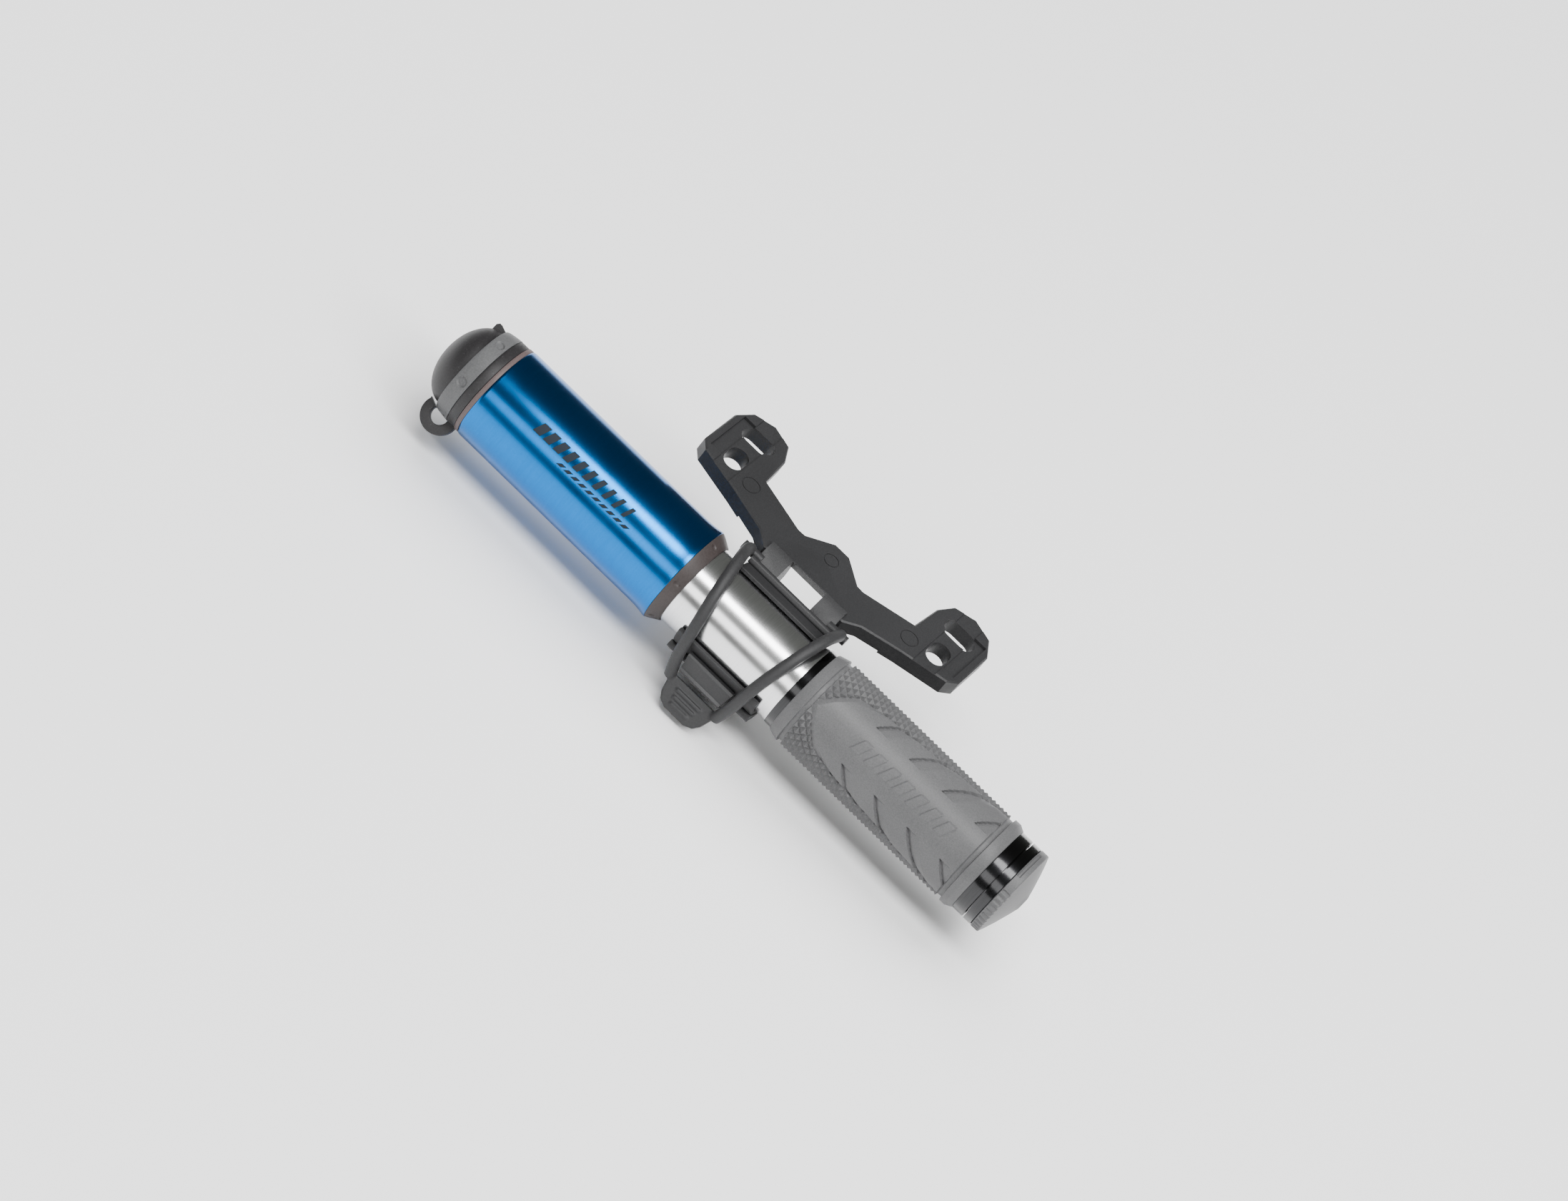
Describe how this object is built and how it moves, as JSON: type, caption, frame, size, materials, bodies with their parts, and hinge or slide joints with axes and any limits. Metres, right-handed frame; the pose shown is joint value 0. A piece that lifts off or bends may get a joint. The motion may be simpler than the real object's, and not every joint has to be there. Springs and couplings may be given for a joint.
{
  "type": "mini pump",
  "caption": "Mini bicycle pump with sliding blue handle, rubber grip, capped pull-out hose and a strap-closed cradle bracket.",
  "frame": {"origin": "midway between the two boss slots on the bracket's seat face", "axes": "+X along the pump from dust cap to palm cap, +Z out of the bosses away from the bicycle tube, -Y to the side where the pump hangs"},
  "size_m": [0.1804, 0.0639, 0.034],
  "materials": {
    "bracket_plastic": "fine-grained black moulding",
    "liner_rubber": "matte soft rubber",
    "strap_rubber": "matte rubber",
    "cap_rubber": "speckled matte rubber",
    "collar_grey": "satin grey moulding",
    "ring_brown": "matte brown-grey moulding",
    "seal_rubber": "matte dark seal rubber",
    "sleeve_blue": "bright anodised, polished",
    "barrel_silver": "polished",
    "ring_black": "black anodised, glossy",
    "grip_rubber": "matte grey rubber",
    "inner_plastic": "plain moulding",
    "rod_steel": "drawn",
    "hose_rubber": "smooth black hose",
    "brass": "turned"
  },
  "bodies": {
    "bracket": {"bracket": "bracket_plastic", "cradle_liner": "liner_rubber"},
    "strap": {"strap": "strap_rubber"},
    "barrel": {"barrel": "barrel_silver", "rod_guide": "inner_plastic", "rod_wiper_ring": "seal_rubber", "guide_circlip": "rod_steel", "grip_tube": "ring_black", "grip": "grip_rubber", "end_plug": "ring_black", "plug_o_ring": "seal_rubber"},
    "palm_cap": {"palm_cap": "grip_rubber"},
    "handle": {"handle_sleeve": "sleeve_blue", "sleeve_wiper": "seal_rubber", "head_plug": "inner_plastic", "head_collar": "collar_grey", "leash_ring": "cap_rubber", "end_ring": "ring_brown", "piston_rod": "rod_steel", "piston": "inner_plastic", "piston_ring": "inner_plastic", "cup_seal": "seal_rubber", "valve_spring": "rod_steel"},
    "valve_ball": {"valve_ball": "rod_steel"},
    "hose": {"hose": "hose_rubber", "hose_piston": "brass", "hose_ferrule": "brass", "chuck_body": "inner_plastic", "chuck_gasket": "seal_rubber"},
    "chuck_collar": {"chuck_collar": "barrel_silver"},
    "dust_cap": {"dust_cap": "cap_rubber"}
  },
  "joints": [
    {"name": "pump_lift", "type": "slide", "parent": "bracket", "child": "barrel", "axis": [0, -0.766, 0.6428], "range_m": [0, 0.02], "deforming": ["cradle_liner"]},
    {"name": "strap_open", "type": "hinge", "parent": "bracket", "child": "strap", "pos_m": [0, -0.02798, 0.00239], "axis": [-1, 0, 0], "range_deg": [0, 107]},
    {"name": "handle_stroke", "type": "slide", "parent": "barrel", "child": "handle", "axis": [-1, 0, 0], "range_m": [0, 0.045]},
    {"name": "palm_cap_turn", "type": "hinge", "parent": "barrel", "child": "palm_cap", "pos_m": [0.081, -0.038, -0.008], "axis": [1, 0, 0], "continuous": true},
    {"name": "valve_lift", "type": "slide", "parent": "handle", "child": "valve_ball", "axis": [-1, 0, 0], "range_m": [0, 0.0005], "stiffness_N_per_m": 60},
    {"name": "hose_slide", "type": "slide", "parent": "handle", "child": "hose", "axis": [-1, 0, 0], "range_m": [0, 0.075], "deforming": ["dust_cap"]},
    {"name": "chuck_collar_turn", "type": "hinge", "parent": "hose", "child": "chuck_collar", "pos_m": [-0.086, -0.038, -0.008], "axis": [1, 0, 0], "continuous": true},
    {"name": "cap_open", "type": "hinge", "parent": "handle", "child": "dust_cap", "pos_m": [-0.0856, -0.0461, -0.01765], "axis": [0, -0.766, 0.6428], "range_deg": [0, 120]}
  ],
  "couplings": [
    {"joint": "strap_open", "follows": "pump_lift", "rad_per_m": 90.757},
    {"joint": "cap_open", "follows": "hose_slide", "rad_per_m": 26.762}
  ]
}
